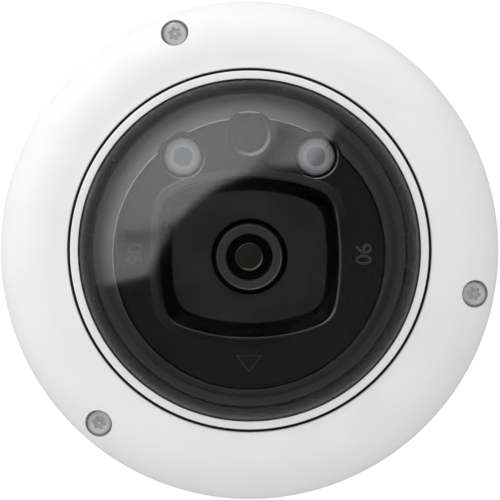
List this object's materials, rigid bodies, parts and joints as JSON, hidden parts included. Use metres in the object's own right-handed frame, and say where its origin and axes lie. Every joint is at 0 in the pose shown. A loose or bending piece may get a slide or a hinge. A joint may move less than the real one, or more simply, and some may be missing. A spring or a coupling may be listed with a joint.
{
  "type": "dome cctv camera",
  "caption": "Surface-mount dome security camera: round white housing, clear bubble and a pan, tilt and rotate camera ball with infrared windows.",
  "frame": {"origin": "centre of the flat mounting face, on the dome's axis", "axes": "+Z along the dome's axis, out of the wall or ceiling; +Y towards the infrared windows; +X to the right of the camera's picture"},
  "size_m": [0.122, 0.122, 0.089],
  "materials": {
    "cast_base": "die cast, bead blasted",
    "white_paint": "smooth satin white powder coat",
    "black_rubber": "matte",
    "clear_dome": "optically clear hard-coated polycarbonate",
    "board": "green solder mask",
    "black_chip": "moulded epoxy",
    "ivory_plastic": "moulded",
    "led_package": "silicone-filled package",
    "bare_can": "plated",
    "brass": "turned",
    "black_steel": "black coated",
    "steel": "stainless",
    "black_plastic": "satin black",
    "textured_plastic": "fine spark-eroded texture",
    "lens_glass": "coated",
    "infrared_window": "frosted clear plastic"
  },
  "bodies": {
    "base": {"base_housing": "cast_base", "cable_grommet": "black_rubber", "conduit_plug": "white_paint", "plug_seal": "black_rubber", "body_gasket": "black_rubber", "main_board": "board", "processor_chip": "black_chip", "network_transformer": "black_chip", "board_connector": "ivory_plastic", "capacitor": "bare_can", "reset_switch": "bare_can", "board_standoff_1": "brass", "board_standoff_2": "brass", "board_standoff_3": "brass", "pan_base": "black_steel", "pan_clip_1": "black_steel", "pan_clip_2": "black_steel", "pan_clip_3": "black_steel", "chassis_screw_1": "steel", "chassis_screw_2": "steel", "chassis_screw_3": "steel"},
    "reset_button": {"reset_button": "black_chip"},
    "cover": {"cover_shell": "white_paint", "dome_bubble": "clear_dome", "dome_trim_ring": "white_paint", "dome_gasket": "black_rubber", "dome_clamp_ring": "black_steel", "clamp_screw_1": "steel", "clamp_screw_2": "steel", "clamp_screw_3": "steel", "cover_screw_1": "steel", "cover_screw_2": "steel", "cover_screw_3": "steel"},
    "pan_stage": {"pan_turntable": "black_plastic", "yoke_arm_left": "black_steel", "yoke_arm_right": "black_steel", "yoke_screw_left": "steel", "yoke_screw_right": "steel"},
    "tilt_stage": {"tilt_ring": "black_plastic", "tilt_screw_left": "steel", "tilt_screw_right": "steel"},
    "camera_head": {"ball_shell": "black_plastic", "face_plate": "textured_plastic", "lens_well": "black_plastic", "swivel_cup": "black_plastic", "swivel_retainer": "steel", "sensor_board": "board", "image_sensor": "black_chip", "lens_holder": "black_plastic", "lens_barrel": "black_steel", "lens_glass": "lens_glass", "lens_lock_ring": "brass", "ir_board": "board", "ir_window_left": "infrared_window", "ir_window_right": "infrared_window", "ir_led_left": "led_package", "ir_led_right": "led_package"}
  },
  "joints": [
    {"name": "cover_lift", "type": "slide", "parent": "base", "child": "cover", "axis": [0, 0, 1], "range_m": [0, 0.075]},
    {"name": "pan", "type": "hinge", "parent": "base", "child": "pan_stage", "pos_m": [0, 0, 0.017], "axis": [0, 0, 1], "range_deg": [-177.5, 177.5]},
    {"name": "tilt", "type": "hinge", "parent": "pan_stage", "child": "tilt_stage", "pos_m": [0, 0, 0.041], "axis": [-1, 0, 0], "range_deg": [-5, 75]},
    {"name": "picture_rotation", "type": "hinge", "parent": "tilt_stage", "child": "camera_head", "pos_m": [0, 0, 0.041], "axis": [0, -0.0523, 0.9986], "range_deg": [-177.5, 177.5]},
    {"name": "reset_press", "type": "slide", "parent": "base", "child": "reset_button", "axis": [0, 0, -1], "range_m": [0, 0.0005], "stiffness_N_per_m": 400}
  ]
}
